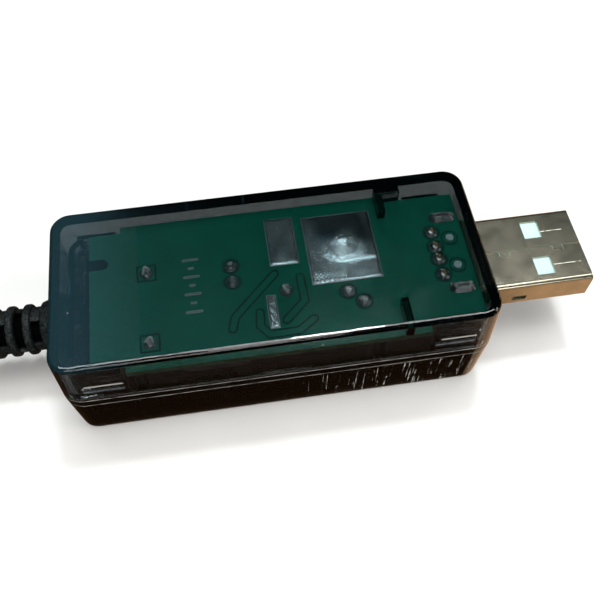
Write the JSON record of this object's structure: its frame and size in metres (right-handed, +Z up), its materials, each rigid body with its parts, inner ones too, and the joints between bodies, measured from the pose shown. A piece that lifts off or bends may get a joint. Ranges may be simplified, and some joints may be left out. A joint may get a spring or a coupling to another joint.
{
  "type": "usb microcontroller programmer",
  "caption": "In-circuit programmer: USB-A plug and circuit board in a smoked snap-fit case, with a strain-relieved cable to a six-way socket",
  "frame": {"origin": "centre of the underside of the case, on the surface it lies on; the case and the bodies on its two ends are as long on the one side as on the other", "axes": "+X the way the USB plug points, +Z up through the removable upper shell, +Y across the case"},
  "size_m": [0.2278, 0.028, 0.018],
  "materials": {
    "smoked_plastic": "translucent smoked blue-grey, polished outside",
    "board": "satin green solder mask over glass-epoxy board",
    "tinned_copper": "dull tinned copper pads",
    "solder": "bright solder",
    "nickel_steel": "satin nickel-plated steel with handling marks",
    "white_plastic": "off-white moulded nylon",
    "gold_contact": "thin gold plate",
    "chip_epoxy": "black moulding compound",
    "tinned_lead": "tinned leads",
    "can_metal": "drawn metal can",
    "capacitor_sleeve": "dark sleeve with a pale stripe",
    "choke_coat": "conformal coating",
    "led_lens": "diffused epoxy lens",
    "ceramic": "fired ceramic",
    "resistor_body": "black glaze",
    "wire_insulation": "PVC insulation, six colours",
    "black_rubber": "fine-grained matte moulding",
    "cable_jacket": "satin PVC jacket",
    "tie_strap": "woven hook-and-loop strap",
    "connector_plastic": "matte black moulding"
  },
  "bodies": {
    "base_unit": {"lower_shell": "smoked_plastic", "snap_tongues": "smoked_plastic", "circuit_board": "board", "tinned_pads": "tinned_copper", "solder_joints": "solder", "usb_plug_shell": "nickel_steel", "usb_insulator": "white_plastic", "usb_contacts": "gold_contact", "microcontroller_body": "chip_epoxy", "microcontroller_leads": "tinned_lead", "buffer_body": "chip_epoxy", "buffer_leads": "tinned_lead", "regulator_body": "chip_epoxy", "regulator_leads": "tinned_lead", "crystal_can": "can_metal", "crystal_leads": "tinned_lead", "capacitor_can": "capacitor_sleeve", "capacitor_leads": "tinned_lead", "choke_body": "choke_coat", "choke_leads": "tinned_lead", "status_led": "led_lens", "led_leads": "tinned_lead", "test_pin": "tinned_lead", "chip_capacitors": "ceramic", "chip_resistors": "resistor_body", "chip_terminals": "tinned_lead", "wire_leads": "wire_insulation", "strain_relief": "black_rubber", "cable_lead": "cable_jacket", "cable_hank": "cable_jacket", "cable_tail": "cable_jacket", "hank_tie": "tie_strap", "connector_body": "connector_plastic", "connector_socket": "connector_plastic", "connector_contacts": "gold_contact"},
    "cover": {"upper_shell": "smoked_plastic"}
  },
  "joints": [
    {"name": "cover_lift", "type": "slide", "parent": "base_unit", "child": "cover", "axis": [0, 0, 1], "range_m": [0, 0.025], "deforming": ["snap_tongues"]}
  ]
}
